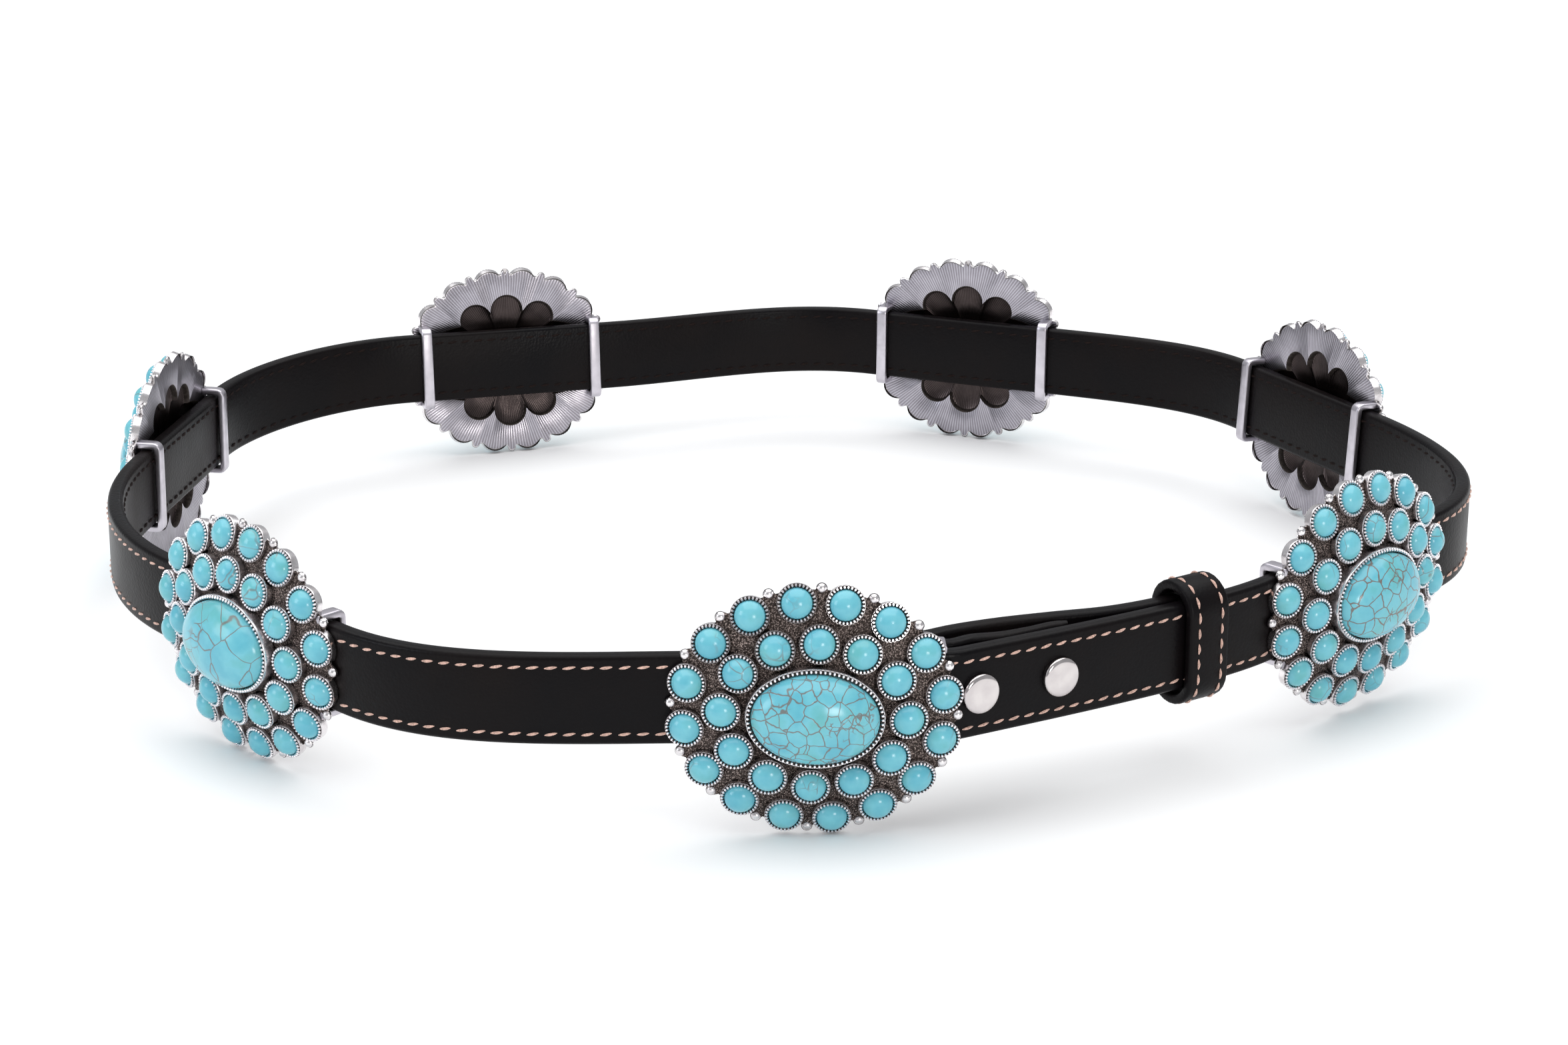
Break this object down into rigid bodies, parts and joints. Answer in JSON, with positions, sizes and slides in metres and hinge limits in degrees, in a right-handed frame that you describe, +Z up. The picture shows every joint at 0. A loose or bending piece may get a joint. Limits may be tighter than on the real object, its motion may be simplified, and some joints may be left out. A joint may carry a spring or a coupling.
{
  "type": "concho belt",
  "caption": "Black leather concho belt fastened in a loop: domed oval silver conchos with rings of small round turquoise round a large oval cabochon, leather keeper and rivets",
  "frame": {"origin": "middle of the belt's box in plan, at the height of the surface that the conchos stand on", "axes": "+Z up, the buckle concho faces -Y, +X to the right as seen from the front"},
  "size_m": [0.312, 0.2694, 0.052],
  "materials": {
    "black_leather": "smooth black bridle leather, satin",
    "silver": "polished silver, darkened in the recesses",
    "turquoise": "polished turquoise with dark matrix",
    "nickel": "bright polished nickel"
  },
  "bodies": {
    "root": {"strap": "black_leather", "keeper": "black_leather", "rivet_1": "nickel", "rivet_2": "nickel", "buckle": "silver", "buckle_stone": "turquoise", "concho_right_front": "silver", "right_front_stone": "turquoise", "concho_right_side": "silver", "right_side_stone": "turquoise", "concho_rear_right": "silver", "rear_right_stone": "turquoise", "concho_rear_left": "silver", "rear_left_stone": "turquoise", "concho_left_side": "silver", "left_side_stone": "turquoise", "concho_left_front": "silver", "left_front_stone": "turquoise"}
  },
  "joints": []
}
